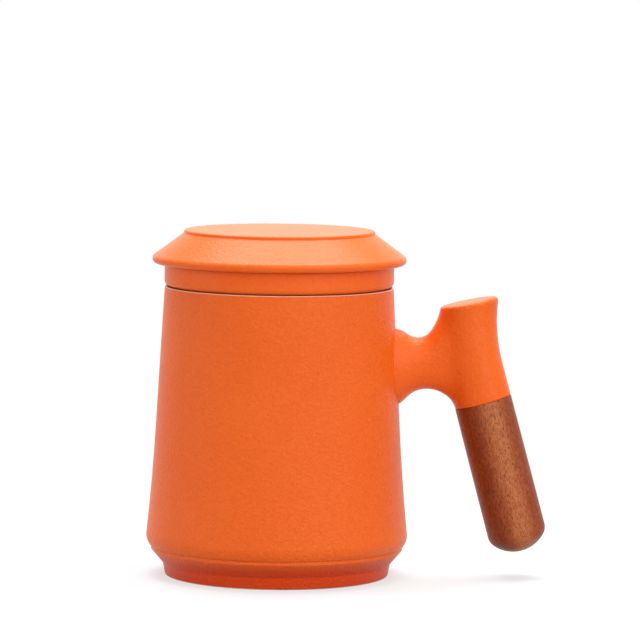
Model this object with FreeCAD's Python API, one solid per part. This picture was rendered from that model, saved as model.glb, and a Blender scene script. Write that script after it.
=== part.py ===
import FreeCAD, Part
import math
import os

# Lidded tea mug with a lift-out infuser, and a side handle that ends in a wooden grip.
# The origin is on the mug's axis, in the plane that the mug stands on. +Z is up, and +X points
# at the handle. All sizes are in millimetres.

# Mug body
mug_height = 100.5
mouth_radius = 39.7
taper_radius = 42.35
taper_height = 52.0
belly_radius = 45.4
belly_height = 14.5
mug_wall = 3.6
mug_floor = 5.5
rim_round = 0.8

# Turned base of the mug: a groove, a chamfer and a foot ring
groove_height = 9.1
groove_width = 1.5
groove_depth = 0.7
groove_slope = 0.3
groove_draft = 0.15
base_radius = 44.3
foot_height = 4.2
foot_radius = 38.9
foot_draft = 0.65
foot_width = 4.5
foot_recess = 2.2
foot_round = 0.7

# Infuser: a collar that stands on the rim, and a perforated cup under it
collar_radius = 39.75
collar_height = 7.9
collar_width = 4.55
collar_round = 2.0
gallery_depth = 4.0
band_height = 3.0
infuser_clearance = 0.45
cup_depth = 65.5
cup_base_radius = 29.5
cup_wall = 3.0
cup_step = 0.9
cup_corner = 5.0
edge_round = 0.6

# Drain holes of the cup
drain_radius = 1.1
drain_pitch = 6.0
floor_rings = 3
holes_per_ring = 6
wall_rows = 4
wall_columns = 18

# Lid: a raised disc, a sloped brim and a spigot under it
lid_height = 11.6
lid_thickness = 5.0
disc_radius = 33.1
disc_step = 1.1
brim_point_radius = 47.24
brim_round = 1.6
spigot_depth = 3.5
spigot_wall = 3.2
lid_clearance = 0.5
lid_hollow_round = 7.0

# Handle: reach is measured out from the mug's side, and drop down from the mug's rim
arm_drop = 26.4
seat_reach = 30.0
seat_drop = 39.35
grip_tilt = 15.2
head_radius = 9.95
head_straight = 12.0
head_reach = 25.6
head_spare = 2.0
head_top_drop = 4.35
head_top_tilt = 12.0
head_edge_round = 1.2
arm_root = 2.4
arm_blend = 6.0

# Wooden grip and the stud that holds it
grip_length = 53.9
grip_top_radius = 10.0
grip_end_radius = 10.2
grip_dome_radius = 12.0
grip_end_round = 5.0
seam_round = 0.35
stud_radius = 3.0
stud_in_arm = 17.0
stud_in_grip = 22.0
glue_thickness = 1.2
glue_under_stud = 1.0
stud_fit = 0.04
bore_spare = 1.0

# Arm sections from the mug out into the head: reach, top and bottom from the arm's middle line,
# and half depth. The third one is the saddle between the mug and the head.
arm_sections = [
    (1.8, 11.4, -13.4, 8.8),
    (4.1, 10.1, -11.4, 7.9),
    (8.3, 9.2, -9.1, 7.0),
    (11.4, 11.6, -9.0, 6.8),
    (14.1, 17.0, -9.7, 6.9),
    (16.7, 21.2, -11.2, 7.1),
    (20.5, 24.5, -12.6, 7.4),
    (27.0, 26.5, -12.8, 7.8),
]

rim_plane = mug_height
seat_plane = rim_plane + collar_height
lid_top = seat_plane + lid_height
mouth_inside = mouth_radius - mug_wall
floor_top = foot_recess + mug_floor


def at(radius, height):
    return FreeCAD.Vector(radius, 0, height)


def line(start, end):
    return Part.LineSegment(start, end).toShape()


def tangent_arc(before, start, end):
    """Arc that leaves the line from before to start without a corner, and ends at end."""
    way = start - before
    chord = end - start
    turn = math.atan2(chord.x, chord.z) - math.atan2(way.x, way.z)
    half = FreeCAD.Rotation(FreeCAD.Vector(0, 1, 0), math.degrees(-turn / 2))
    middle = start + half.multVec(chord) * (0.5 / math.cos(turn / 2))
    return Part.Arc(start, middle, end).toShape()


def outline(corners):
    """Closed outline through (radius, height, rounding) corners, with an arc at each rounding."""
    edges = []
    ends = []
    for index, (radius, height, rounding) in enumerate(corners):
        corner = at(radius, height)
        if rounding == 0:
            ends.append((corner, corner))
            continue
        back = at(*corners[index - 1][:2]) - corner
        ahead = at(*corners[(index + 1) % len(corners)][:2]) - corner
        half_angle = back.getAngle(ahead) / 2
        back.normalize()
        ahead.normalize()
        leg = rounding / math.tan(half_angle)
        bisector = back + ahead
        bisector.normalize()
        middle = corner + bisector * (rounding / math.sin(half_angle) - rounding)
        first = corner + back * leg
        last = corner + ahead * leg
        edges.append(Part.Arc(first, middle, last).toShape())
        ends.append((first, last))
    for index in range(len(ends)):
        start = ends[index - 1][1]
        end = ends[index][0]
        edges.append(line(start, end))
    return edges


def turned(edges):
    """Solid made by turning a closed outline about the mug's axis."""
    wire = Part.Wire(Part.__sortEdges__(edges))
    return Part.Face(wire).revolve(FreeCAD.Vector(0, 0, 0), FreeCAD.Vector(0, 0, 1), 360)


def side_edges(inset):
    """Side of the mug from its rim to its belly: a straight taper, then a slow curve outward."""
    rim = at(mouth_radius - inset, rim_plane - rim_round)
    bend = at(taper_radius - inset, taper_height)
    belly = at(belly_radius - inset, belly_height)
    return [line(rim, bend), tangent_arc(rim, bend, belly)]


def base_edges():
    """Outside of the mug from its belly to the inner edge of its foot ring."""
    belly = at(belly_radius, belly_height)
    lip = at(base_radius, groove_height + groove_width)
    groove_top = at(base_radius - groove_depth, groove_height + groove_width - groove_slope)
    groove_base = at(base_radius - groove_depth + groove_draft, groove_height)
    foot_top = at(foot_radius + foot_draft, foot_height)
    foot_side = at(foot_radius, foot_round)
    foot_edge = at(foot_radius - foot_round, 0)
    sink = foot_round * math.sqrt(0.5)
    foot_middle = at(foot_radius - foot_round + sink, foot_round - sink)
    ring_inside = at(foot_radius - foot_width, 0)
    return [
        tangent_arc(at(taper_radius, taper_height), belly, lip),
        line(lip, groove_top),
        line(groove_top, groove_base),
        line(groove_base, foot_top),
        line(foot_top, foot_side),
        Part.Arc(foot_side, foot_middle, foot_edge).toShape(),
        line(foot_edge, ring_inside),
    ]


def rim_edges():
    """Rounded rim, from the mug's outside over to its inside."""
    outer = at(mouth_radius, rim_plane - rim_round)
    inner = at(mouth_inside, rim_plane - rim_round)
    rise = rim_round * math.sqrt(0.5)
    outer_flat = at(mouth_radius - rim_round, rim_plane)
    inner_flat = at(mouth_inside + rim_round, rim_plane)
    outer_middle = at(mouth_radius - rim_round + rise, rim_plane - rim_round + rise)
    inner_middle = at(mouth_inside + rim_round - rise, rim_plane - rim_round + rise)
    return [
        Part.Arc(outer, outer_middle, outer_flat).toShape(),
        line(outer_flat, inner_flat),
        Part.Arc(inner_flat, inner_middle, inner).toShape(),
    ]


def inside_edges():
    """Inside of the mug from its belly to the middle of its floor."""
    corner = belly_height - floor_top
    inside = belly_radius - mug_wall
    drop = corner * math.sqrt(0.5)
    side = at(inside, belly_height)
    middle = at(inside - corner + drop, belly_height - drop)
    flat = at(inside - corner, floor_top)
    return [Part.Arc(side, middle, flat).toShape(), line(flat, at(0, floor_top))]


def foot_edges():
    """Recess under the mug, from the foot ring to the axis, and up the axis to the floor."""
    ring_inside = at(foot_radius - foot_width, 0)
    recess_corner = at(foot_radius - foot_width, foot_recess)
    recess_middle = at(0, foot_recess)
    return [
        line(ring_inside, recess_corner),
        line(recess_corner, recess_middle),
        line(recess_middle, at(0, floor_top)),
    ]


def make_mug_body():
    edges = rim_edges() + side_edges(0) + base_edges() + foot_edges()
    return turned(edges + inside_edges() + side_edges(mug_wall))


def make_mug_envelope():
    """The mug's sides as one filled solid, which the handle is cut to."""
    side_top = at(mouth_radius, rim_plane - rim_round)
    belly = at(belly_radius, belly_height)
    cap = [line(side_top, at(0, rim_plane - rim_round)), line(at(0, belly_height), belly)]
    axis = [line(at(0, rim_plane - rim_round), at(0, belly_height))]
    return turned(side_edges(0) + cap + axis)


def cup_radius(height):
    """Outside radius of the infuser's cup at a height above the mug's foot."""
    top = mouth_inside - infuser_clearance - cup_step
    share = (height - rim_plane + cup_depth) / (cup_depth - band_height)
    return cup_base_radius + share * (top - cup_base_radius)


def drain_holes():
    """Drills for the cup's floor, in rings, and for its lower wall, in staggered rows."""
    cup_base = rim_plane - cup_depth
    reach = 3 * cup_wall
    drills = [Part.makeCylinder(drain_radius, reach, at(0, cup_base - cup_wall))]
    for ring in range(1, floor_rings + 1):
        count = holes_per_ring * ring
        for index in range(count):
            turn = 2 * math.pi * index / count
            x = ring * drain_pitch * math.cos(turn)
            y = ring * drain_pitch * math.sin(turn)
            start = FreeCAD.Vector(x, y, cup_base - cup_wall)
            drills.append(Part.makeCylinder(drain_radius, reach, start))
    for row in range(wall_rows):
        height = cup_base + cup_wall + cup_corner + row * drain_pitch
        radius = cup_radius(height) - 2 * cup_wall
        for index in range(wall_columns):
            turn = 2 * math.pi * (index + 0.5 * (row % 2)) / wall_columns
            way = FreeCAD.Vector(math.cos(turn), math.sin(turn), 0)
            start = way * radius + FreeCAD.Vector(0, 0, height)
            drills.append(Part.makeCylinder(drain_radius, reach, start, way))
    return drills


def make_infuser():
    band_radius = mouth_inside - infuser_clearance
    gallery_radius = collar_radius - collar_width
    cup_base = rim_plane - cup_depth
    band_base = rim_plane - band_height
    gallery_floor = seat_plane - gallery_depth
    inner_top = cup_radius(band_base) - cup_wall
    body = turned(outline([
        (collar_radius, seat_plane, edge_round),
        (collar_radius, rim_plane, collar_round),
        (band_radius, rim_plane, 0),
        (band_radius, band_base, edge_round),
        (cup_radius(band_base), band_base - edge_round, 0),
        (cup_base_radius, cup_base, cup_corner),
        (0, cup_base, 0),
        (0, cup_base + cup_wall, 0),
        (cup_base_radius - cup_wall, cup_base + cup_wall, cup_corner - cup_wall),
        (inner_top, gallery_floor, edge_round),
        (gallery_radius, gallery_floor, 0),
        (gallery_radius, seat_plane, edge_round),
    ]))
    return body.cut(drain_holes())


def make_lid():
    spigot_radius = collar_radius - collar_width - lid_clearance
    hollow_radius = spigot_radius - spigot_wall
    spigot_base = seat_plane - spigot_depth
    return turned(outline([
        (0, lid_top, 0),
        (disc_radius, lid_top, edge_round),
        (disc_radius, lid_top - disc_step, 0),
        (brim_point_radius, seat_plane, brim_round),
        (spigot_radius, seat_plane, 0),
        (spigot_radius, spigot_base, edge_round),
        (hollow_radius, spigot_base, edge_round),
        (hollow_radius, lid_top - lid_thickness, lid_hollow_round),
        (0, lid_top - lid_thickness, 0),
    ]))


def side_radius(height):
    """Outside radius of the mug on its straight taper."""
    share = (rim_plane - height) / (rim_plane - taper_height)
    return mouth_radius + share * (taper_radius - mouth_radius)


side_at_arm = side_radius(rim_plane - arm_drop)
grip_axis = FreeCAD.Vector(math.sin(math.radians(grip_tilt)), 0, -math.cos(math.radians(grip_tilt)))
seat_centre = at(side_at_arm + seat_reach, rim_plane - seat_drop)


def make_head():
    """Round head of the handle: it rises straight from the grip, then bends upright."""
    bend = seat_centre - grip_axis * head_straight
    top = at(side_at_arm + head_reach, rim_plane + head_spare)
    path = Part.Wire([line(seat_centre, bend), tangent_arc(seat_centre, bend, top)])
    section = Part.Wire(Part.Circle(seat_centre, grip_axis, head_radius).toShape())
    return path.makePipeShell([section], True, False)


def make_arm_web():
    """Arm between the mug's side and the head, lofted through ellipses."""
    middle = rim_plane - arm_drop
    first = arm_sections[0]
    second = arm_sections[1]
    back = (first[0] + arm_root) / (second[0] - first[0])
    root = [a - back * (b - a) for a, b in zip(first, second)]
    wires = []
    for reach, top, bottom, half_depth in [root] + arm_sections:
        centre = at(side_at_arm + reach, middle + (top + bottom) / 2)
        top_point = at(side_at_arm + reach, middle + top)
        side_point = centre + FreeCAD.Vector(0, half_depth, 0)
        wires.append(Part.Wire(Part.Ellipse(top_point, side_point, centre).toShape()))
    return Part.makeLoft(wires, True, False)


head_top = at(side_at_arm + head_reach, rim_plane - head_top_drop)
head_top_normal = at(-math.sin(math.radians(head_top_tilt)), math.cos(math.radians(head_top_tilt)))


def make_top_cutter():
    """Slab above the head's sloped top face."""
    span = 6 * head_radius
    slab = Part.makeBox(span, span, span, head_top - FreeCAD.Vector(span / 2, span / 2, 0))
    slab.rotate(head_top, FreeCAD.Vector(0, 1, 0), -head_top_tilt)
    return slab


def on_plane(edge, point, normal):
    if edge.Degenerated:
        return False
    return max(abs((place - point).dot(normal)) for place in edge.discretize(5)) < 0.001


def joins_web_to_head(arm, edge):
    kinds = {type(face.Surface).__name__ for face in arm.ancestorsOfType(edge, Part.Face)}
    return "BSplineSurface" in kinds and bool(kinds & {"Cylinder", "Toroid"})


def make_handle_arm():
    arm = make_head().fuse(make_arm_web())
    arm = arm.cut(make_top_cutter())
    arm = arm.cut(make_mug_envelope())
    creases = [edge for edge in arm.Edges if joins_web_to_head(arm, edge)]
    arm = arm.makeFillet(arm_blend, creases)
    top_edges = [edge for edge in arm.Edges if on_plane(edge, head_top, head_top_normal)]
    arm = arm.makeFillet(head_edge_round, top_edges)
    seat_edges = [edge for edge in arm.Edges if on_plane(edge, seat_centre, grip_axis)]
    arm = arm.makeFillet(seam_round, seat_edges)
    return arm.cut(make_socket())


def make_socket():
    radius = stud_radius + glue_thickness
    return Part.makeCylinder(radius, stud_in_arm + glue_under_stud, seat_centre, grip_axis * -1)


def make_grip_stud():
    start = seat_centre - grip_axis * stud_in_arm
    return Part.makeCylinder(stud_radius, stud_in_arm + stud_in_grip, start, grip_axis)


def make_wooden_grip():
    """Turned grip with a domed end and a bore for the stud, set on the grip's own axis."""
    bore_radius = stud_radius + stud_fit
    dome_centre = grip_dome_radius - grip_length
    dome_start = dome_centre - math.sqrt(grip_dome_radius**2 - grip_end_radius**2)
    side = grip_dome_radius * math.sin(math.radians(45))
    dome_middle = at(side, dome_centre - side)
    grip = turned([
        line(at(0, 0), at(grip_top_radius, 0)),
        line(at(grip_top_radius, 0), at(grip_end_radius, dome_start)),
        Part.Arc(at(grip_end_radius, dome_start), dome_middle, at(0, -grip_length)).toShape(),
        line(at(0, -grip_length), at(0, 0)),
    ])
    seam = [edge for edge in grip.Edges if on_plane(edge, at(0, 0), at(0, 1))]
    grip = grip.makeFillet(seam_round, seam)
    shoulder = [edge for edge in grip.Edges if on_plane(edge, at(0, dome_start), at(0, 1))]
    grip = grip.makeFillet(grip_end_round, shoulder)
    bore = Part.makeCylinder(bore_radius, stud_in_grip + bore_spare, at(0, 0), at(0, -1))
    grip = grip.cut(bore)
    grip.rotate(at(0, 0), FreeCAD.Vector(0, 1, 0), -grip_tilt)
    grip.translate(seat_centre)
    return grip


parts = {
    "mug_body": make_mug_body(),
    "handle_arm": make_handle_arm(),
    "stud_adhesive": make_socket().cut(make_grip_stud()),
    "grip_stud": make_grip_stud(),
    "wooden_grip": make_wooden_grip(),
    "infuser": make_infuser(),
    "lid": make_lid(),
}

os.makedirs("parts", exist_ok=True)
for name, shape in parts.items():
    shape.exportStep("parts/" + name + ".step")
    print(name, "valid", shape.isValid(), "solids", len(shape.Solids), "cm3", round(shape.Volume / 1000, 2))
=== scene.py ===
# %% [markdown]
# # A lidded tea mug with an infuser
# This lesson dresses a tea mug made of glazed stoneware and wood. The frame that is loaded first
# holds every piece at its real size, in metres. The mug's axis is the Z axis and the handle points
# along +X. The frame's pieces are never moved: each step only gives one of them its finish, or
# puts a finer mesh in its place.

# %% Load the frame
import math

import bpy
from mathutils import Matrix, Vector


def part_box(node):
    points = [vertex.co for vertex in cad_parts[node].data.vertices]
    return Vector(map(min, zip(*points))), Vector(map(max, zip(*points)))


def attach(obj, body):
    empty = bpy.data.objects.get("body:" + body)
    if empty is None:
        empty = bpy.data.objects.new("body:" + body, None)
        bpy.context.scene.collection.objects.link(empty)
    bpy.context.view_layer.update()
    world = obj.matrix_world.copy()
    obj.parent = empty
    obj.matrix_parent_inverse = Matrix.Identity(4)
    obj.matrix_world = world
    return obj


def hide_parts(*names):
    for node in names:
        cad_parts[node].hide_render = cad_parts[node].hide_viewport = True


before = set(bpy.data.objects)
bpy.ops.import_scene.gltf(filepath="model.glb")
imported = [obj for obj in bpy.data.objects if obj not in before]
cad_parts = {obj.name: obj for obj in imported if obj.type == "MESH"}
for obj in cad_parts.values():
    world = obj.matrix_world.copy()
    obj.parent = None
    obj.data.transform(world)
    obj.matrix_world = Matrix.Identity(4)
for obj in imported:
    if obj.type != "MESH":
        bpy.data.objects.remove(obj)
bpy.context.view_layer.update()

MM = 0.001

# %% [markdown]
# ## The places that the finishes need
# Glazes change at the rim, at the foot and under the lid. Those heights are read from the pieces,
# so that the finishes follow them if a piece changes.

# %% Read heights and radii from the pieces
mug_low, mug_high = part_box("mug_body")
infuser_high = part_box("infuser")[1]

FOOT_HEIGHT = mug_low.z
RIM_HEIGHT = mug_high.z
SEAT_HEIGHT = infuser_high.z
COLLAR_RADIUS = infuser_high.y
heights = (FOOT_HEIGHT, RIM_HEIGHT, SEAT_HEIGHT)
print("foot, rim and seat stand at, mm:", [round(height / MM, 2) for height in heights])
print("the collar's radius is, mm:", round(COLLAR_RADIUS / MM, 2))

# %% [markdown]
# ## Tools for materials
# Colours are written as sRGB hex values, the way a paint program shows them. Light is added up in
# linear values, so one function turns them over. A second function adds a shader node, sets it up
# and links others into it. Every material below is built with these two.

# %% Colours
def colour(hex_value):
    """Linear RGBA from an sRGB hex value such as "#E5602A"."""
    channels = [int(hex_value[i:i + 2], 16) / 255 for i in (1, 3, 5)]
    linear = [c / 12.92 if c <= 0.04045 else ((c + 0.055) / 1.055) ** 2.4 for c in channels]
    return (*linear, 1.0)


print("a middle grey in linear light:", [round(value, 3) for value in colour("#808080")])


# %% Shader nodes
def add(tree, kind, settings=None, links=None):
    """Adds a node, sets its properties or input sockets by name, and links others into it.

    A link starts from a socket, or from a node, which stands for its first output.
    """
    node = tree.nodes.new(kind)
    for name, value in (settings or {}).items():
        if isinstance(name, str) and hasattr(node, name):
            setattr(node, name, value)
        else:
            node.inputs[name].default_value = value
    for name, source in (links or {}).items():
        if isinstance(source, bpy.types.Node):
            source = source.outputs[0]
        tree.links.new(source, node.inputs[name])
    return node


# %% Materials
def new_material(name):
    """An empty material and its node tree."""
    material = bpy.data.materials.new(name)
    material.use_nodes = True
    material.node_tree.nodes.clear()
    return material, material.node_tree


def finish_with(node_name, material):
    """Gives a piece of the frame one material."""
    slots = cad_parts[node_name].data.materials
    slots.clear()
    slots.append(material)
    print(node_name, "is finished with", material.name)


# %% [markdown]
# ## Where a point is, and which way it faces
# A pot's glazes change at rings round its axis: at the rim, at the foot, under the brim. A short
# node chain gives the shaded point's distance from the axis, its height, and how far it faces away
# from the axis. The place comes from the piece's own coordinates, so the finish stays put when a
# piece is lifted. A glaze never stops at a hard line, so each change is a soft one.

# %% Place and facing of the shaded point
def place_nodes(tree):
    """Position, distance from the axis, height, and facing (1 outward, 0 up or down, -1 inward)."""
    position = add(tree, "ShaderNodeTexCoord").outputs["Object"]
    parts = add(tree, "ShaderNodeSeparateXYZ", links={0: position})
    flat = add(tree, "ShaderNodeCombineXYZ", links={0: parts.outputs[0], 1: parts.outputs[1]})
    radius = add(tree, "ShaderNodeVectorMath", {"operation": "LENGTH"}, {0: flat})
    outward = add(tree, "ShaderNodeVectorMath", {"operation": "NORMALIZE"}, {0: flat})
    normal = add(tree, "ShaderNodeNewGeometry").outputs["Normal"]
    facing = add(
        tree,
        "ShaderNodeVectorMath",
        {"operation": "DOT_PRODUCT"},
        {0: normal, 1: outward},
    )
    return position, radius.outputs["Value"], parts.outputs[2], facing.outputs["Value"]


# %% Where one glaze ends and the next begins
def soft_edge(edge, softness):
    """Map Range settings: 0 below an edge and 1 above it, with a change as wide as softness."""
    return {
        "interpolation_type": "SMOOTHSTEP",
        "From Min": edge - softness / 2,
        "From Max": edge + softness / 2,
    }


GLAZE_LINE = 0.1 * MM
OUTSIDE_FACING = 0.35
FACING_SOFTNESS = 0.1
print("one glaze turns into the next over, mm:", GLAZE_LINE / MM)

# %% [markdown]
# ## Matte orange stoneware glaze
# The outside is a sprayed matte glaze on stoneware. Sprayed drops melt together only in part, so
# the surface keeps a fine leathery wrinkle, well under a millimetre from crest to crest. A matte
# glaze is still glass, so it has glass's IOR of about 1.5, but its broken surface spreads the
# highlight wide. Two noises make the wrinkle: one for the grains and one for the slow swell under
# them. A third, much wider one lets the colour drift a little. The same glaze goes on the mug, the
# arm, the lid and the collar. Towards the foot it is painted darker and redder, as painted shade.
# On the lid it lies nearly level while it is molten, so it flows out, and on the arm and the collar
# it is thinner, so its wrinkle is shallower on them.

# %% Colours and sizes of the orange glaze
GLASS_IOR = 1.5
GLAZE_ORANGE = "#E45F17"
GLAZE_THICK = "#E15B15"
GLAZE_THIN = "#E7641B"
# Painted shade: the glaze is painted darker and redder towards the foot, where it lies in shade.
GLAZE_FOOT_SHADE = "#D2400B"
# The noise's values where the glaze is thick and where it is thin.
TONE_RANGE = (0.35, 0.65)
# A pixel of the render is a third of a millimetre, so the wrinkle and its grains are drawn wider
# and deeper than the real ones, as coarse as they need to be to show.
WRINKLE_SIZE = 0.95 * MM
WRINKLE_DEPTH = 0.43 * MM
GRAIN_SIZE = 0.55 * MM
GRAIN_DEPTH = 0.12 * MM
# The share of these depths on the level lid, and where the glaze is thin.
LEVEL_SHARE = 0.3
THIN_SHARE = 0.5
# The clouds are the slow drift of the colour, and give this share of its tone.
CLOUD_SIZE = 30 * MM
CLOUD_SHARE = 0.35
print("the wrinkle's width and depth, mm:", WRINKLE_SIZE / MM, WRINKLE_DEPTH / MM)


# %% The orange glaze
def orange_glaze(tree, position, foot_shade_share=None, depth=1.0):
    """Shader of the matte orange glaze, painted darker and redder as shade where the foot's share
    is 1; depth scales its wrinkle.
    """
    wrinkle = add(
        tree,
        "ShaderNodeTexNoise",
        {"Scale": 1 / WRINKLE_SIZE, "Detail": 2.0, "Roughness": 0.5, "Distortion": 0.8},
        {"Vector": position},
    )
    cloud = add(
        tree,
        "ShaderNodeTexNoise",
        {"Scale": 1 / CLOUD_SIZE, "Detail": 2.0},
        {"Vector": position},
    )
    thickness = add(
        tree,
        "ShaderNodeMix",
        {"data_type": "FLOAT", 0: CLOUD_SHARE},
        {2: wrinkle, 3: cloud},
    )
    tone = add(tree, "ShaderNodeValToRGB", links={"Fac": thickness})
    thick, thin = tone.color_ramp.elements
    thick.position, thin.position = TONE_RANGE
    thick.color, thin.color = colour(GLAZE_THICK), colour(GLAZE_THIN)
    tone.color_ramp.elements.new(0.5).color = colour(GLAZE_ORANGE)
    paint = tone.outputs["Color"]
    if foot_shade_share is not None:
        paint = add(
            tree,
            "ShaderNodeMix",
            {"data_type": "RGBA", 7: colour(GLAZE_FOOT_SHADE)},
            {0: foot_shade_share, 6: paint},
        ).outputs[2]
    grain = add(
        tree,
        "ShaderNodeTexNoise",
        {"Scale": 1 / GRAIN_SIZE, "Detail": 2.0},
        {"Vector": position},
    )
    swell = add(
        tree,
        "ShaderNodeBump",
        {"Strength": 1.0, "Distance": WRINKLE_DEPTH * depth},
        {"Height": wrinkle},
    )
    skin = add(
        tree,
        "ShaderNodeBump",
        {"Strength": 1.0, "Distance": GRAIN_DEPTH * depth},
        {"Height": grain, "Normal": swell},
    )
    return add(
        tree,
        "ShaderNodeBsdfPrincipled",
        {"Roughness": 0.37, "IOR": GLASS_IOR, "Specular IOR Level": 0.17},
        {"Base Color": paint, "Normal": skin},
    )


# %% [markdown]
# ## White gloss glaze and the bare foot
# Inside, where the tea stands, the mug has a smooth white glaze that is easy to wash. It is glossy
# glass over white clay, and it ripples a little, as poured glaze does. The foot ring is wiped
# clean before firing, or it would stick to the kiln shelf, so it shows the bare, slightly sandy
# clay.

# %% The white glaze
GLAZE_WHITE = "#F3F0EA"
RIPPLE_SIZE = 6 * MM
RIPPLE_DEPTH = 0.05 * MM
print("the white glaze ripples every, mm:", RIPPLE_SIZE / MM)


def white_glaze(tree, position):
    """Shader of the white gloss glaze."""
    ripple = add(
        tree,
        "ShaderNodeTexNoise",
        {"Scale": 1 / RIPPLE_SIZE, "Detail": 2.0},
        {"Vector": position},
    )
    bump = add(
        tree,
        "ShaderNodeBump",
        {"Strength": 0.4, "Distance": RIPPLE_DEPTH},
        {"Height": ripple},
    )
    return add(
        tree,
        "ShaderNodeBsdfPrincipled",
        {"Base Color": colour(GLAZE_WHITE), "Roughness": 0.12, "IOR": GLASS_IOR},
        {"Normal": bump},
    )


# %% The bare clay
CLAY_CREAM = "#D9CDBB"
GRIT_SIZE = 0.5 * MM
GRIT_DEPTH = 0.08 * MM
print("the clay's grit is, mm:", GRIT_SIZE / MM)


def bare_clay(tree, position):
    """Shader of the unglazed clay."""
    grit = add(
        tree,
        "ShaderNodeTexNoise",
        {"Scale": 1 / GRIT_SIZE, "Detail": 4.0},
        {"Vector": position},
    )
    bump = add(
        tree,
        "ShaderNodeBump",
        {"Strength": 0.8, "Distance": GRIT_DEPTH},
        {"Height": grit},
    )
    return add(
        tree,
        "ShaderNodeBsdfPrincipled",
        {"Base Color": colour(CLAY_CREAM), "Roughness": 0.85, "IOR": GLASS_IOR},
        {"Normal": bump},
    )


# %% [markdown]
# ## The mug's three finishes
# One material covers the mug. What faces away from the axis is the outside, and gets the orange
# glaze, which goes on over the top of the rim. The inside and the hollow under the foot face
# inward or down, and get the white one. The flat of the foot ring is bare clay. The crest of the
# rim is painted as a thin pale line, partly glaze thinned to pale clay at the edge and partly a
# painted highlight on the lit edge. The flat top above it, in the gap under the collar, is painted
# dark red as painted shade.

# %% Where the mug's finishes change
FOOT_WIPE = 0.30 * MM
# Painted shade, darker and redder, covers the foot and fades out round this height, over this
# width.
FOOT_SHADE_HEIGHT = 8.0 * MM
FOOT_SHADE_FADE = 5.0 * MM
RIM_INSIDE = COLLAR_RADIUS - 3.0 * MM
RIM_BELOW = RIM_HEIGHT - 1.0 * MM
RIM_LINE = 0.2 * MM
CREST_LOW = RIM_HEIGHT - 0.36 * MM
CREST_HIGH = RIM_HEIGHT - 0.10 * MM
CREST_LINE = 0.06 * MM
# The crest is painted pale, partly as glaze thinned to clay and partly as a painted highlight; the
# flat top is painted dark red as shade.
PALE_CREST_HIGHLIGHT = "#E8B79F"
RIM_TOP_SHADE = "#7E2C0E"
print("the pale crest of the rim is, mm:", round((CREST_HIGH - CREST_LOW) / MM, 2), "high")


# %% The rim's pale crest with its painted highlight, and the painted shade on its top
def rim_edge(tree, height):
    """Shader of the rim's crest, painted pale as thin glaze and highlight, and of painted dark
    shade on the top above it.
    """
    # The crest: pale clay where the glaze thins, and a painted highlight.
    thin = add(
        tree,
        "ShaderNodeBsdfPrincipled",
        {"Base Color": colour(PALE_CREST_HIGHLIGHT), "Roughness": 0.5, "IOR": GLASS_IOR},
    )
    # Painted shade: the rim's flat top, in the gap under the collar, is painted dark red.
    painted_gap_shade = add(
        tree,
        "ShaderNodeBsdfPrincipled",
        {"Base Color": colour(RIM_TOP_SHADE), "Roughness": 0.4, "IOR": GLASS_IOR},
    )
    above_crest = add(
        tree,
        "ShaderNodeMapRange",
        soft_edge(CREST_HIGH, CREST_LINE),
        {"Value": height},
    )
    return add(tree, "ShaderNodeMixShader", links={0: above_crest, 1: thin, 2: painted_gap_shade})


# %% What counts as the mug's outside
def mug_outside(tree, radius, height, facing):
    """1 on the mug's outer wall and on the top of its rim, 0 inside and under the foot."""
    side = add(
        tree,
        "ShaderNodeMapRange",
        soft_edge(OUTSIDE_FACING, FACING_SOFTNESS),
        {"Value": facing},
    )
    past_bore = add(tree, "ShaderNodeMapRange", soft_edge(RIM_INSIDE, RIM_LINE), {"Value": radius})
    at_rim = add(tree, "ShaderNodeMapRange", soft_edge(RIM_BELOW, RIM_LINE), {"Value": height})
    top = add(tree, "ShaderNodeMath", {"operation": "MULTIPLY"}, {0: past_bore, 1: at_rim})
    return add(tree, "ShaderNodeMath", {"operation": "MAXIMUM"}, {0: side, 1: top})


# %% Finish the mug
def glazed_mug():
    material, tree = new_material("stoneware, orange matte and white gloss glaze")
    position, radius, height, facing = place_nodes(tree)
    # Painted shade: a darker, redder glaze towards the foot.
    above_foot_shade = add(
        tree,
        "ShaderNodeMapRange",
        soft_edge(FOOT_SHADE_HEIGHT, FOOT_SHADE_FADE),
        {"Value": height},
    )
    foot_shade = add(tree, "ShaderNodeMath", {"operation": "SUBTRACT", 0: 1.0}, {1: above_foot_shade})
    above_side = add(
        tree,
        "ShaderNodeMapRange",
        soft_edge(CREST_LOW, GLAZE_LINE),
        {"Value": height},
    )
    above_foot = add(
        tree,
        "ShaderNodeMapRange",
        soft_edge(FOOT_WIPE, GLAZE_LINE),
        {"Value": height},
    )
    outside = mug_outside(tree, radius, height, facing)
    wall = orange_glaze(tree, position, foot_shade)
    edge = rim_edge(tree, height)
    inside = white_glaze(tree, position)
    clay = bare_clay(tree, position)
    orange = add(tree, "ShaderNodeMixShader", links={0: above_side, 1: wall, 2: edge})
    glazed = add(tree, "ShaderNodeMixShader", links={0: outside, 1: inside, 2: orange})
    surface = add(tree, "ShaderNodeMixShader", links={0: above_foot, 1: clay, 2: glazed})
    add(tree, "ShaderNodeOutputMaterial", links={"Surface": surface})
    return material


finish_with("mug_body", glazed_mug())

# %% [markdown]
# ## The arm's shape
# The arm is cast in a mould of its own. Before it is fired, the caster rubs the soft clay with a
# wet sponge, so the neck flows into the round head with no crease. The frame's arm has a tighter
# blend there. A Smooth modifier rubs a mesh down like the sponge, and a vertex group says how hard
# it rubs each point. It keeps the sponge off the seam, the top, the outer side of the head, the
# socket for the stud and the joint with the mug.

# %% Where the arm's parts are
# The grip's axis crosses the seam at its centre, and leans back towards the mug as it goes up.
SEAM_CENTRE = Vector((71.14, 0.0, 61.15)) * MM
GRIP_TILT = math.radians(15.2)
HEAD_UP = Vector((-math.sin(GRIP_TILT), 0.0, math.cos(GRIP_TILT)))
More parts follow.
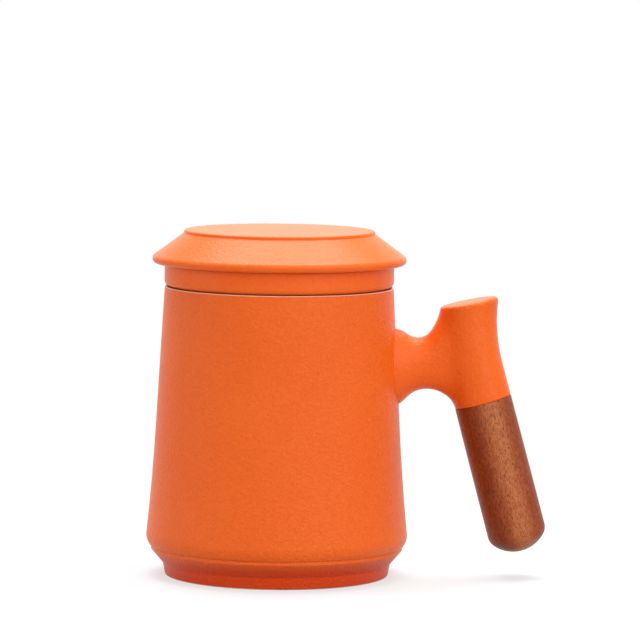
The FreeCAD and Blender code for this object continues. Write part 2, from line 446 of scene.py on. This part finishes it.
# The top of the head is a height, and the root a distance from the mug's axis.
HEAD_TOP = 95.0 * MM
ARM_ROOT = 43.5 * MM
print("the grip leans, degrees:", round(math.degrees(GRIP_TILT), 1))

# %% How hard the sponge rubs each point
# Each pair is a distance at which the sponge starts to rub, and one at which it rubs fully.
FROM_SEAM = (1.5 * MM, 6.0 * MM)
FROM_TOP = (0.0, 5.0 * MM)
FROM_ROOT = (ARM_ROOT, ARM_ROOT + 3.0 * MM)
FROM_SOCKET = (6.0 * MM, 7.5 * MM)
FROM_OUTER_SIDE = (-3.0 * MM, 4.0 * MM)


def ramp(value, start, end):
    """0 at start, 1 at end, and a smooth rise between them."""
    share = min(max((value - start) / (end - start), 0.0), 1.0)
    return share * share * (3 - 2 * share)


def sponge_weight(point):
    """How much a point of the arm is smoothed, from 0 to 1."""
    from_seam = point - SEAM_CENTRE
    height = from_seam.dot(HEAD_UP)
    off_axis = from_seam - HEAD_UP * height
    inward = SEAM_CENTRE.x + HEAD_UP.x * height - point.x
    weight = ramp(height, *FROM_SEAM)
    weight *= ramp(HEAD_TOP - point.z, *FROM_TOP)
    weight *= ramp(point.x, *FROM_ROOT)
    weight *= ramp(off_axis.length, *FROM_SOCKET)
    return weight * ramp(inward, *FROM_OUTER_SIDE)


neck = Vector((52.0, 0.0, 85.0)) * MM
weights = [round(sponge_weight(point), 2) for point in (SEAM_CENTRE, neck)]
print("sponge weights at the seam and at the neck:", weights)

# %% [markdown]
# ## Rubbing the arm down
# The sponge needs an even skin to work on, so a voxel remesh first gives the arm an even grid. The
# arm is stuck to the mug with slip, a thin clay glue. Its root is pressed a little way into the
# mug's wall, as slip joins clay, so that no gap shows there.

# %% Remesh the arm
SKIN_GRID = 0.4 * MM


def applied(piece):
    """Puts what the modifiers make of a piece into its mesh, and removes the modifiers."""
    evaluated = piece.evaluated_get(bpy.context.evaluated_depsgraph_get())
    shown = bpy.data.meshes.new_from_object(evaluated)
    piece.modifiers.clear()
    piece.data = shown


cast_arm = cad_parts["handle_arm"]
arm = bpy.data.objects.new("sponged_arm", cast_arm.data.copy())
bpy.context.scene.collection.objects.link(arm)
arm.matrix_world = cast_arm.matrix_world
grid = arm.modifiers.new("even grid", "REMESH")
grid.mode = "VOXEL"
grid.voxel_size = SKIN_GRID
applied(arm)
print("arm skin:", len(arm.data.vertices), "points")

# %% Press the root into the wall and smooth the arm
SLIP_JOINT = 0.8 * MM
PRESSED = (ARM_ROOT - 3.0 * MM, ARM_ROOT - 0.5 * MM)
SPONGE_STROKES = 350

sponged = arm.vertex_groups.new(name="sponged")
for vertex in arm.data.vertices:
    sponged.add([vertex.index], sponge_weight(vertex.co), "REPLACE")
    vertex.co.x -= SLIP_JOINT * (1 - ramp(vertex.co.x, *PRESSED))
sponge = arm.modifiers.new("wet sponge", "SMOOTH")
sponge.factor = 0.5
sponge.iterations = SPONGE_STROKES
sponge.vertex_group = sponged.name
applied(arm)
for face in arm.data.polygons:
    face.use_smooth = True
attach(arm, "mug")
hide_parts("handle_arm")
print("the sponge went over the arm", SPONGE_STROKES, "times")

# %% [markdown]
# ## The arm's finish
# The arm is joined to the mug with slip while both are leather-hard, and sprayed with it. So it has
# the mug's orange glaze all over.

# %% Finish the arm
def glazed_arm():
    material, tree = new_material("stoneware, orange matte glaze")
    position = add(tree, "ShaderNodeTexCoord").outputs["Object"]
    surface = orange_glaze(tree, position, depth=THIN_SHARE)
    add(tree, "ShaderNodeOutputMaterial", links={"Surface": surface})
    return material


arm_glaze = glazed_arm()
finish_with("handle_arm", arm_glaze)
arm.data.materials.clear()
arm.data.materials.append(arm_glaze)

# %% [markdown]
# ## The infuser
# Only the infuser's collar shows when the mug is closed, so only the outside of the collar is
# orange, and the glaze laps a little way over its top edge. The cup under it stands in the tea,
# and is white and glossy.

# %% Finish the infuser
COLLAR_INSIDE = COLLAR_RADIUS - 2.0 * MM
LAP_START = COLLAR_RADIUS - 1.2 * MM


def glazed_infuser():
    material, tree = new_material("porcelain, orange collar and white gloss cup")
    position, radius, _, facing = place_nodes(tree)
    on_collar = add(
        tree,
        "ShaderNodeMapRange",
        soft_edge(COLLAR_INSIDE, GLAZE_LINE),
        {"Value": radius},
    )
    side = add(
        tree,
        "ShaderNodeMapRange",
        soft_edge(OUTSIDE_FACING, FACING_SOFTNESS),
        {"Value": facing},
    )
    lap = add(tree, "ShaderNodeMapRange", soft_edge(LAP_START, GLAZE_LINE), {"Value": radius})
    outside = add(tree, "ShaderNodeMath", {"operation": "MAXIMUM"}, {0: side, 1: lap})
    share = add(tree, "ShaderNodeMath", {"operation": "MULTIPLY"}, {0: on_collar, 1: outside})
    white = white_glaze(tree, position)
    orange = orange_glaze(tree, position, depth=THIN_SHARE)
    surface = add(tree, "ShaderNodeMixShader", links={0: share, 1: white, 2: orange})
    add(tree, "ShaderNodeOutputMaterial", links={"Surface": surface})
    return material


finish_with("infuser", glazed_infuser())

# %% [markdown]
# ## The lid
# The lid is orange on top and round its brim, also where the brim stands out past the collar. Its
# seat, spigot and hollow are white. Here the outside is what faces up or away from the axis, above
# the seat.

# %% What counts as the lid's outside
UPWARD = 0.2
ABOVE_SEAT = SEAT_HEIGHT + 0.05 * MM


def lid_outside(tree, radius, height, facing):
    """1 on the lid's top, slope and brim, 0 on its seat, spigot and hollow."""
    normal = add(tree, "ShaderNodeNewGeometry").outputs["Normal"]
    upward = add(tree, "ShaderNodeSeparateXYZ", links={0: normal}).outputs[2]
    top = add(tree, "ShaderNodeMapRange", soft_edge(UPWARD, FACING_SOFTNESS), {"Value": upward})
    brim = add(
        tree,
        "ShaderNodeMapRange",
        soft_edge(OUTSIDE_FACING, FACING_SOFTNESS),
        {"Value": facing},
    )
    shown = add(tree, "ShaderNodeMath", {"operation": "MAXIMUM"}, {0: top, 1: brim})
    above = add(tree, "ShaderNodeMapRange", soft_edge(ABOVE_SEAT, GLAZE_LINE), {"Value": height})
    outside = add(tree, "ShaderNodeMath", {"operation": "MULTIPLY"}, {0: shown, 1: above})
    under_brim = add(
        tree,
        "ShaderNodeMapRange",
        soft_edge(LAP_START, GLAZE_LINE),
        {"Value": radius},
    )
    return add(tree, "ShaderNodeMath", {"operation": "MAXIMUM"}, {0: outside, 1: under_brim})


# %% Finish the lid
def glazed_lid():
    material, tree = new_material("stoneware, orange top and white gloss underside")
    position, radius, height, facing = place_nodes(tree)
    share = lid_outside(tree, radius, height, facing)
    white = white_glaze(tree, position)
    orange = orange_glaze(tree, position, depth=LEVEL_SHARE)
    surface = add(tree, "ShaderNodeMixShader", links={0: share, 1: white, 2: orange})
    add(tree, "ShaderNodeOutputMaterial", links={"Surface": surface})
    return material


finish_with("lid", glazed_lid())

# %% [markdown]
# ## The wooden grip
# The grip is turned from a reddish-brown hardwood such as sapele. Its grain runs along the grip.
# Long thin pores show as fine dark dashes, and the tree's grain leans one way and then the other as
# it grows, so sawn sapele has wide light and dark ribbons. Here they are one slow wave across the
# grip, placed so that its light ribbon lies right of the front as a painted highlight and its dark
# parts towards the sides as painted shade.
# Noises that are stretched along the grip make the pores and the narrow bands between them.

# %% Colours and sizes of the wood
# The light and dark ends also give the ribbon wave's painted highlight and painted shade.
WOOD_LIGHT = "#B8693B"
WOOD_MIDDLE = "#A2522A"
WOOD_DARK = "#8B3A14"
WOOD_PORE = "#4E1D08"
# The values of ribbons and bands together where the wood is dark and where it is light.
FIGURE_RANGE = (0.25, 0.75)
RIBBON_WIDTH = 15 * MM
# The ribbon wave's light middle sits here, right of the front, as a painted highlight; its dark
# parts towards the sides are painted shade.
RIBBON_HIGHLIGHT_CENTRE = 1.9 * MM
RIBBON_HIGHLIGHT_SHARE = 0.5
BAND_WIDTH = 1.6 * MM
# The real pores are about a tenth of a millimetre wide, and are drawn coarser so that they show.
PORE_WIDTH = 0.18 * MM
PORE_DEPTH = 0.06 * MM
PORE_RANGE = (0.45, 0.62)
PORE_DARKNESS = 0.65
GRAIN_STRETCH = 3.2
print("sapele: ribbons", round(RIBBON_WIDTH / MM), "mm, pores", round(PORE_WIDTH / MM, 2), "mm")


# %% The wood's own directions
def wood_places(tree):
    """Places turned to lie along the grip, and the same ones squeezed so that noises stretch."""
    position = add(tree, "ShaderNodeTexCoord").outputs["Object"]
    centred = add(
        tree,
        "ShaderNodeVectorMath",
        {"operation": "SUBTRACT", 1: SEAM_CENTRE},
        {0: position},
    )
    along = add(
        tree,
        "ShaderNodeVectorRotate",
        {"rotation_type": "Y_AXIS", "Angle": GRIP_TILT},
        {"Vector": centred},
    )
    stretched = add(
        tree,
        "ShaderNodeMapping",
        {"Scale": (1.0, 1.0, 1 / GRAIN_STRETCH)},
        {"Vector": along},
    )
    return along, stretched


# %% Ribbons and bands
def wood_tone(tree, along, stretched):
    """The wood's colour between its pores."""
    band = add(
        tree,
        "ShaderNodeTexNoise",
        {"Scale": 1 / BAND_WIDTH, "Detail": 3.0, "Roughness": 0.6, "Distortion": 0.8},
        {"Vector": stretched},
    )
    across = add(tree, "ShaderNodeSeparateXYZ", links={0: along})
    turns = add(
        tree,
        "ShaderNodeMapRange",
        {
            "clamp": False,
            "From Min": RIBBON_HIGHLIGHT_CENTRE,
            "From Max": RIBBON_HIGHLIGHT_CENTRE + RIBBON_WIDTH,
            "To Max": 2 * math.pi,
        },
        {"Value": across},
    )
    swing = add(tree, "ShaderNodeMath", {"operation": "COSINE"}, {0: turns})
    # The ribbon: real figure, and a painted highlight and painted shade on the grip's two sides.
    ribbon_highlight_shade = add(tree, "ShaderNodeMapRange", {"From Min": -1.0}, {"Value": swing})
    figure = add(
        tree,
        "ShaderNodeMix",
        {"data_type": "FLOAT", 0: RIBBON_HIGHLIGHT_SHARE},
        {2: band, 3: ribbon_highlight_shade},
    )
    tone = add(tree, "ShaderNodeValToRGB", links={"Fac": figure})
    dark, light = tone.color_ramp.elements
    dark.position, light.position = FIGURE_RANGE
    dark.color, light.color = colour(WOOD_DARK), colour(WOOD_LIGHT)
    tone.color_ramp.elements.new(0.5).color = colour(WOOD_MIDDLE)
    return tone


# %% Finish the grip
def turned_wood():
    material, tree = new_material("sapele, turned and oiled")
    along, stretched = wood_places(tree)
    tone = wood_tone(tree, along, stretched)
    pores = add(
        tree,
        "ShaderNodeTexNoise",
        {"Scale": 0.5 / PORE_WIDTH, "Detail": 3.0, "Roughness": 0.6, "Distortion": 0.8},
        {"Vector": stretched},
    )
    pore_share = add(
        tree,
        "ShaderNodeMapRange",
        {"From Min": PORE_RANGE[0], "From Max": PORE_RANGE[1], "To Max": PORE_DARKNESS},
        {"Value": pores},
    )
    paint = add(
        tree,
        "ShaderNodeMix",
        {"data_type": "RGBA", 7: colour(WOOD_PORE)},
        {0: pore_share, 6: tone},
    ).outputs[2]
    bump = add(
        tree,
        "ShaderNodeBump",
        {"Strength": 0.6, "Distance": PORE_DEPTH, "invert": True},
        {"Height": pore_share},
    )
    surface = add(
        tree,
        "ShaderNodeBsdfPrincipled",
        {"Roughness": 0.42, "IOR": 1.5, "Specular IOR Level": 0.18},
        {"Base Color": paint, "Normal": bump},
    )
    add(tree, "ShaderNodeOutputMaterial", links={"Surface": surface})
    return material


finish_with("wooden_grip", turned_wood())

# %% [markdown]
# ## The hidden stud
# A plain steel rod sits in adhesive inside the arm and the grip. Neither shows, but both get their
# real finish: a drawn steel rod is bright metal whose sheen varies a little, and cured epoxy is a
# cloudy pale yellow plastic.

# %% Finish the stud
STEEL_GREY = "#C2C3C5"
SHEEN_SIZE = 0.4 * MM
SHEEN_RANGE = (0.25, 0.45)


def drawn_steel():
    material, tree = new_material("steel rod, drawn")
    position = add(tree, "ShaderNodeTexCoord").outputs["Object"]
    sheen = add(
        tree,
        "ShaderNodeTexNoise",
        {"Scale": 1 / SHEEN_SIZE, "Detail": 3.0},
        {"Vector": position},
    )
    rough = add(
        tree,
        "ShaderNodeMapRange",
        {"To Min": SHEEN_RANGE[0], "To Max": SHEEN_RANGE[1]},
        {"Value": sheen},
    )
    surface = add(
        tree,
        "ShaderNodeBsdfPrincipled",
        {"Base Color": colour(STEEL_GREY), "Metallic": 1.0},
        {"Roughness": rough},
    )
    add(tree, "ShaderNodeOutputMaterial", links={"Surface": surface})
    return material


finish_with("grip_stud", drawn_steel())

# %% Finish the stud's adhesive
EPOXY_CLEAR = "#D6CCA8"
EPOXY_CLOUDY = "#C2B68C"
HAZE_SIZE = 2 * MM


def cured_epoxy():
    material, tree = new_material("epoxy, cured")
    position = add(tree, "ShaderNodeTexCoord").outputs["Object"]
    haze = add(
        tree,
        "ShaderNodeTexNoise",
        {"Scale": 1 / HAZE_SIZE, "Detail": 3.0},
        {"Vector": position},
    )
    paint = add(
        tree,
        "ShaderNodeMix",
        {"data_type": "RGBA", 6: colour(EPOXY_CLEAR), 7: colour(EPOXY_CLOUDY)},
        {0: haze},
    ).outputs[2]
    surface = add(
        tree,
        "ShaderNodeBsdfPrincipled",
        {"Roughness": 0.4, "IOR": 1.55},
        {"Base Color": paint},
    )
    add(tree, "ShaderNodeOutputMaterial", links={"Surface": surface})
    return material


finish_with("stud_adhesive", cured_epoxy())

# %% [markdown]
# ## Studio
# The mug stands on a white table against a white background. To a camera, a mirror or a glass the
# background is plain white, and to the object it is a dim grey, so the white doesn't wash the
# colours out.

# %% World
WHITE = colour("#FFFFFF")
AMBIENT = 0.42


def white_for_the_eye(tree):
    """1 for camera, glossy and transmission rays, 0 for the rays that light the object."""
    path = add(tree, "ShaderNodeLightPath")
    seen = add(
        tree,
        "ShaderNodeMath",
        {"operation": "MAXIMUM"},
        {0: path.outputs["Is Camera Ray"], 1: path.outputs["Is Glossy Ray"]},
    )
    return add(
        tree,
        "ShaderNodeMath",
        {"operation": "MAXIMUM"},
        {0: seen, 1: path.outputs["Is Transmission Ray"]},
    )


world = bpy.data.worlds.new("white studio")
bpy.context.scene.world = world
world.use_nodes = True
sky = world.node_tree
sky.nodes.clear()
dim = add(sky, "ShaderNodeBackground", {"Color": WHITE, "Strength": AMBIENT})
bright = add(sky, "ShaderNodeBackground", {"Color": WHITE, "Strength": 1.0})
eye = white_for_the_eye(sky)
backdrop = add(sky, "ShaderNodeMixShader", links={0: eye, 1: dim, 2: bright})
add(sky, "ShaderNodeOutputWorld", links={"Surface": backdrop})
print("the background lights the mug at", AMBIENT, "of plain white")

# %% [markdown]
# ## Table
# A white table would throw too much light up at the mug's foot, so under the mug it is a mid grey
# that glows just enough for the eye to look white, and for the object only a little, as a white
# top would. Where the mug keeps the lamps' light off it, the grey shows as a faint shadow. Further
# out it turns to plain white, so that no edge shows between the table and the background.

# %% The table's finish
FLOOR_GREY = "#959595"
FLOOR_GLOW = 0.60
FLOOR_BOUNCE = 0.16
# Distances from the mug's axis, in metres, up to which the shadow is kept and where it is gone.
SHADOW_KEPT = 0.128
SHADOW_GONE = 0.32


def table_material():
    material, tree = new_material("white laminate table")
    radius = place_nodes(tree)[1]
    ground = add(tree, "ShaderNodeBsdfDiffuse", {"Color": colour(FLOOR_GREY)})
    bounce = add(tree, "ShaderNodeEmission", {"Color": WHITE, "Strength": FLOOR_BOUNCE})
    glow = add(tree, "ShaderNodeEmission", {"Color": WHITE, "Strength": FLOOR_GLOW})
    white = add(tree, "ShaderNodeEmission", {"Color": WHITE, "Strength": 1.0})
    seen = white_for_the_eye(tree)
    light = add(tree, "ShaderNodeMixShader", links={0: seen, 1: bounce, 2: glow})
    near = add(tree, "ShaderNodeAddShader", links={0: ground, 1: light})
    far = add(tree, "ShaderNodeMixShader", links={0: seen, 1: ground, 2: white})
    share = add(
        tree,
        "ShaderNodeMapRange",
        {"interpolation_type": "SMOOTHSTEP", "From Min": SHADOW_KEPT, "From Max": SHADOW_GONE},
        {"Value": radius},
    )
    surface = add(tree, "ShaderNodeMixShader", links={0: share, 1: near, 2: far})
    add(tree, "ShaderNodeOutputMaterial", links={"Surface": surface})
    return material


# %% Table
FLOOR_SIZE = 6.0

bpy.ops.mesh.primitive_plane_add(size=FLOOR_SIZE, location=(0, 0, FOOT_HEIGHT))
table = bpy.context.object
table.name = "table"
table.data.materials.append(table_material())
print("the table is", FLOOR_SIZE, "m across")

# %% [markdown]
# ## Lamps
# Wide soft boxes give the matte glaze its broad, soft highlights. The overhead box lights the lid
# and the top of the wall, the front one the wall, and one on each side rounds the mug off. The one
# behind lights the back, so that the mug looks as good from there.

# %% Lamps
LAMP_TARGET = Vector((0, 0, 60 * MM))
# Each box has its name, its place and its width and height in metres, and its power in watts.
SOFT_BOXES = (
    ("overhead box", (0.02, 0.24, 0.95), (0.9, 0.6), 16.0),
    ("right box", (0.62, -0.60, 0.46), (0.5, 0.9), 4.6),
    ("left box", (-1.10, -0.30, 0.30), (0.6, 0.9), 4.1),
    ("front box", (0.00, -1.30, 0.56), (1.2, 0.8), 5.2),
    ("back box", (0.00, 1.60, 0.40), (1.6, 0.8), 2.2),
)

for name, place, (width, height), power in SOFT_BOXES:
    lamp = bpy.data.lights.new(name, "AREA")
    lamp.shape = "RECTANGLE"
    lamp.size = width
    lamp.size_y = height
    lamp.energy = power
    box = bpy.data.objects.new(name, lamp)
    bpy.context.scene.collection.objects.link(box)
    box.location = place
    box.rotation_euler = (LAMP_TARGET - box.location).to_track_quat("-Z", "Y").to_euler()
    print(name, place, power, "W")

# %% [markdown]
# ## Camera
# The camera stands a metre and a half in front of the mug and a little above it, and looks slightly
# down through a long lens, so that the rings of the mug show as flat ellipses.

# %% The camera's lens
SENSOR_WIDTH = 36.0
LENS = 251.96
CLIP_NEAR = 0.05
CLIP_FAR = 20.0

lens = bpy.data.cameras.new("camera")
lens.sensor_width = SENSOR_WIDTH
lens.lens = LENS
lens.clip_start = CLIP_NEAR
lens.clip_end = CLIP_FAR
print("the lens is", LENS, "mm on a sensor of", SENSOR_WIDTH, "mm")

# %% The camera's place
CAMERA_PLACE = Vector((0.01425, -1.54628, 0.22969))
CAMERA_PITCH = 0.0908
CAMERA_ROLL = 0.0114

camera = bpy.data.objects.new("camera", lens)
bpy.context.scene.collection.objects.link(camera)
right = Vector((1, 0, 0))
up = Vector((0, math.sin(CAMERA_PITCH), math.cos(CAMERA_PITCH)))
ahead = Vector((0, math.cos(CAMERA_PITCH), -math.sin(CAMERA_PITCH)))
rolled_right = right * math.cos(CAMERA_ROLL) + up * math.sin(CAMERA_ROLL)
rolled_up = up * math.cos(CAMERA_ROLL) - right * math.sin(CAMERA_ROLL)
turn = Matrix((rolled_right, rolled_up, -ahead)).transposed()
camera.matrix_world = Matrix.Translation(CAMERA_PLACE) @ turn.to_4x4()
bpy.context.scene.camera = camera
# Standard shows each colour as it is written.
bpy.context.scene.view_settings.view_transform = "Standard"
print("the camera looks down by, degrees:", round(math.degrees(CAMERA_PITCH), 1))
